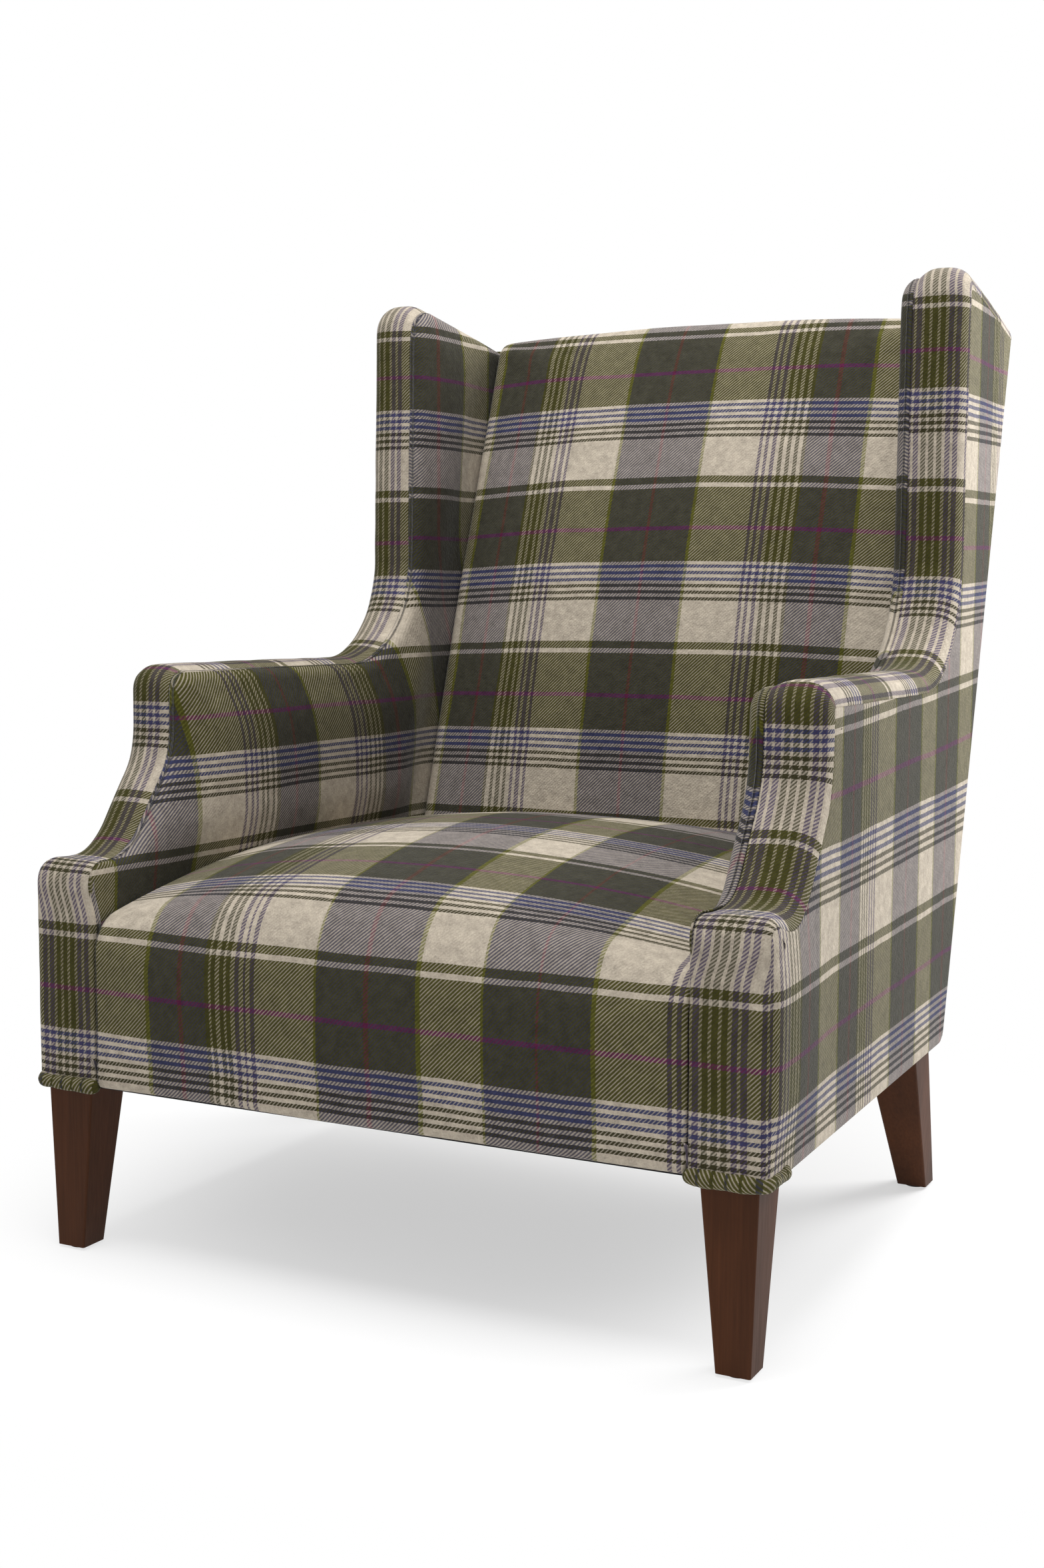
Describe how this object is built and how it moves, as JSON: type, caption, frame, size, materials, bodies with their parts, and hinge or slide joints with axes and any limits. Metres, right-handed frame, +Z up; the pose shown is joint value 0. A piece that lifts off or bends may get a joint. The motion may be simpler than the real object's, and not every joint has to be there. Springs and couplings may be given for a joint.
{
  "type": "fireside chair",
  "caption": "Upholstered wing armchair with S-shaped arm and wing sides, tight crowned seat and back, plaid wool cover and tapered wooden legs.",
  "frame": {"origin": "on the floor, under the middle of the bounding box", "axes": "+X to the left hand of someone sitting in the chair, +Y towards its back, +Z up; the chair faces -Y"},
  "size_m": [0.789, 0.8825, 1.0349],
  "materials": {
    "plaid_wool": "brushed wool tartan in olive, forest green, cream, navy and purple, twill weave",
    "leg_walnut": "dark walnut stain, satin lacquer",
    "frame_beech": "planed, unfinished",
    "padding": "polyurethane foam and polyester wadding",
    "stiff_board": "hardboard",
    "steel": "zinc plated",
    "webbing": "elastic webbing",
    "hessian": "plain weave",
    "dust_cloth": "non-woven black cloth",
    "glide_nylon": "moulded"
  },
  "bodies": {
    "root": {"arm_front_left": "frame_beech", "arm_front_right": "frame_beech", "arm_rail_left": "frame_beech", "arm_rail_right": "frame_beech", "back_board": "stiff_board", "back_bottom_rail": "frame_beech", "back_foam": "padding", "back_middle_rail": "frame_beech", "back_stile_left": "frame_beech", "back_stile_right": "frame_beech", "back_top_rail": "frame_beech", "back_webbing": "webbing", "border_cover_left": "plaid_wool", "border_cover_right": "plaid_wool", "border_wadding_left": "padding", "border_wadding_right": "padding", "corner_blocks": "frame_beech", "dust_cover": "dust_cloth", "front_leg_left": "leg_walnut", "front_leg_right": "leg_walnut", "front_post_left": "frame_beech", "front_post_right": "frame_beech", "glides": "glide_nylon", "hem_tuck_left": "plaid_wool", "hem_tuck_right": "plaid_wool", "inside_back_cover": "plaid_wool", "inside_side_cover_left": "plaid_wool", "inside_side_cover_right": "plaid_wool", "leg_bolts": "steel", "leg_plates": "steel", "outside_back_cover": "plaid_wool", "outside_side_cover_left": "plaid_wool", "outside_side_cover_right": "plaid_wool", "rear_leg_left": "leg_walnut", "rear_leg_right": "leg_walnut", "rear_post_left": "frame_beech", "rear_post_right": "frame_beech", "seat_back_rail": "frame_beech", "seat_cover": "plaid_wool", "seat_foam": "padding", "seat_front_pad": "padding", "seat_front_rail": "frame_beech", "seat_side_rail_left": "frame_beech", "seat_side_rail_right": "frame_beech", "seat_springs": "steel", "side_board_left": "stiff_board", "side_board_right": "stiff_board", "side_pad_left": "padding", "side_pad_right": "padding", "side_rail_left": "frame_beech", "side_rail_right": "frame_beech", "spring_clips": "steel", "spring_lining": "hessian", "wing_post_left": "frame_beech", "wing_post_right": "frame_beech", "wing_top_rail_left": "frame_beech", "wing_top_rail_right": "frame_beech"}
  },
  "joints": []
}
